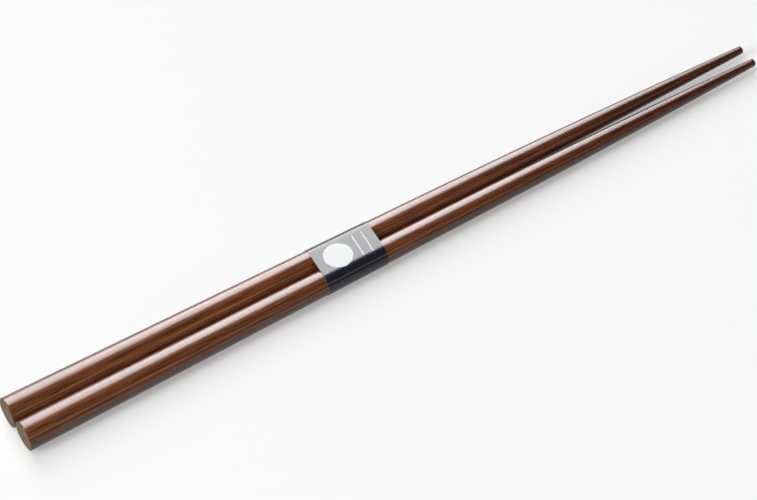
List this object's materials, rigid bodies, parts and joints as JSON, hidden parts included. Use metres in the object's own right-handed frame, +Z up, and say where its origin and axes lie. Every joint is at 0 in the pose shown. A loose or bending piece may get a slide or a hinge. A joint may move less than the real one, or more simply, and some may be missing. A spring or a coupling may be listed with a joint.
{
  "type": "pair of wooden chopsticks",
  "caption": "Round tapered wooden chopsticks with a clear gloss coat, lying side by side and held together by a printed paper band; for picking up food.",
  "frame": {"origin": "on the table, under the middle of the pair's box", "axes": "+X along the sticks from the butts to the tips, +Y across the pair from the front stick to the back one, +Z up"},
  "size_m": [0.2302, 0.0168, 0.0084],
  "materials": {
    "lacquered_wood": "clear gloss lacquer over stained grain",
    "printed_paper": "coated, satin, printed dark with a white disc"
  },
  "bodies": {
    "root": {"chopstick_front": "lacquered_wood", "chopstick_back": "lacquered_wood", "paper_band": "printed_paper"}
  },
  "joints": []
}
